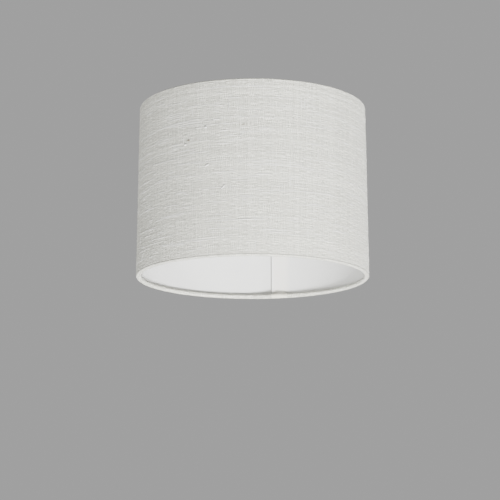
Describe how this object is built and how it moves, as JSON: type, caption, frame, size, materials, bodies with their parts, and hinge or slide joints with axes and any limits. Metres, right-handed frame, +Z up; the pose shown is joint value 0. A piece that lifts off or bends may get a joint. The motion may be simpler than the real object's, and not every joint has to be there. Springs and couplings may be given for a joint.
{
  "type": "lamp shade",
  "caption": "Slightly tapered drum lamp shade in slubbed off-white linen on a white liner, with rolled hems over wire rings and a recessed spider fitter.",
  "frame": {"origin": "middle of the bottom rim, in the plane the shade rests on when it stands on a table", "axes": "+Z up along the drum's axis, towards the fitter; the lapped seam is at the back, 76 degrees round from +X towards +Y"},
  "size_m": [0.2, 0.2008, 0.15],
  "materials": {
    "linen": "off-white slubbed linen weave",
    "liner": "smooth satin white sheet",
    "tape": "clear double-sided film",
    "coated_wire": "white satin powder coat"
  },
  "bodies": {
    "root": {"linen_cover": "linen", "liner_panel": "liner", "seam_tape": "tape", "fold_tape": "tape", "top_ring": "coated_wire", "bottom_ring": "coated_wire", "top_ring_tape": "tape", "bottom_ring_tape": "tape", "fitter_ring": "coated_wire", "fitter_arm_1": "coated_wire", "fitter_arm_2": "coated_wire", "fitter_arm_3": "coated_wire"}
  },
  "joints": []
}
